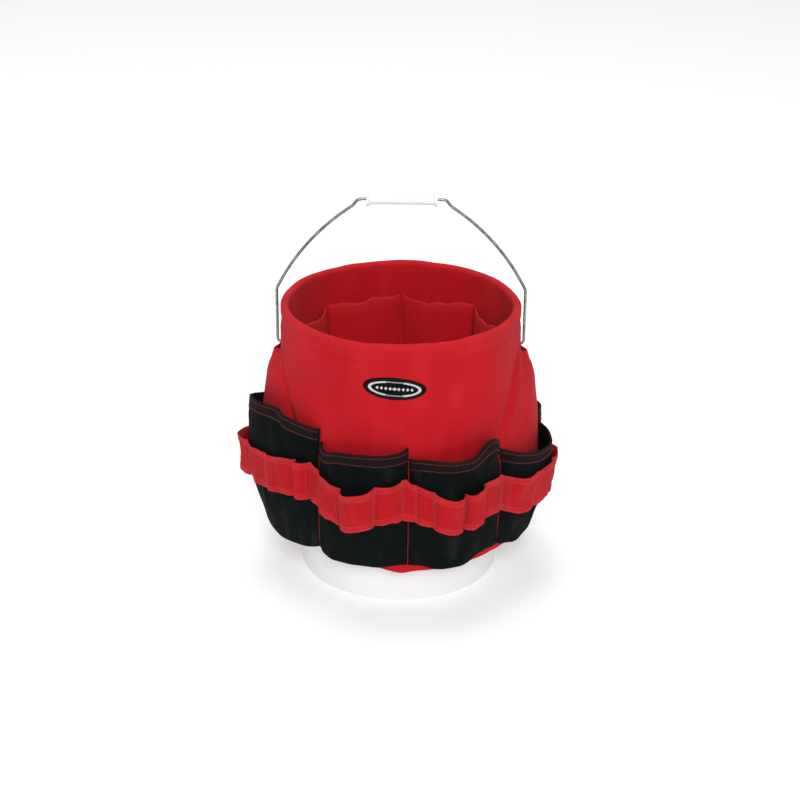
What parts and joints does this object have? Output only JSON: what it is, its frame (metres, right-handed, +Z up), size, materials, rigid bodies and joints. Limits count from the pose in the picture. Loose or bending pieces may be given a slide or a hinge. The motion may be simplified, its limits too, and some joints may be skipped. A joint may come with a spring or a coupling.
{
  "type": "tool bucket organizer",
  "caption": "Cloth pocket skirt and liner folded over the rim of a plastic pail, with tool loops of webbing and a swinging wire bail with a turning grip.",
  "frame": {"origin": "centre of the pail's flat base", "axes": "+Z up; -Y is the front, where the badge is; +X along the bail's pivot line, to the right ear"},
  "size_m": [0.4237, 0.4085, 0.5167],
  "materials": {
    "red_cloth": "woven polyester, matte",
    "red_webbing": "hemmed woven polyester, matte",
    "black_cloth": "woven polyester, matte",
    "binding_tape": "folded tape, matte",
    "badge_cloth": "moulded, satin",
    "badge_print": "satin silver",
    "white_plastic": "slightly translucent, semi-gloss",
    "steel_wire": "galvanised, satin"
  },
  "bodies": {
    "organizer": {"pail": "white_plastic", "skirt": "red_cloth", "skirt_hem": "red_cloth", "rim_collar": "red_cloth", "liner": "red_cloth", "tool_webbing": "red_webbing", "badge": "badge_cloth", "badge_border": "badge_print", "pocket_01": "black_cloth", "pocket_02": "black_cloth", "pocket_03": "black_cloth", "pocket_04": "black_cloth", "pocket_05": "black_cloth", "pocket_06": "black_cloth", "pocket_07": "black_cloth", "pocket_08": "black_cloth", "pocket_binding_01": "binding_tape", "pocket_binding_02": "binding_tape", "pocket_binding_03": "binding_tape", "pocket_binding_04": "binding_tape", "pocket_binding_05": "binding_tape", "pocket_binding_06": "binding_tape", "pocket_binding_07": "binding_tape", "pocket_binding_08": "binding_tape", "inner_pocket_1": "red_cloth", "inner_pocket_2": "red_cloth", "inner_pocket_3": "red_cloth", "inner_pocket_4": "red_cloth", "inner_pocket_5": "red_cloth", "inner_pocket_6": "red_cloth", "inner_pocket_7": "red_cloth", "inner_pocket_8": "red_cloth"},
    "bail": {"bail_wire": "steel_wire"},
    "grip": {"bail_grip": "white_plastic"}
  },
  "joints": [
    {"name": "bail_hinge", "type": "hinge", "parent": "organizer", "child": "bail", "pos_m": [0, 0, 0.312], "axis": [1, 0, 0], "range_deg": [-105, 105]},
    {"name": "grip_spin", "type": "hinge", "parent": "bail", "child": "grip", "pos_m": [0, 0, 0.5075], "axis": [1, 0, 0], "continuous": true}
  ]
}
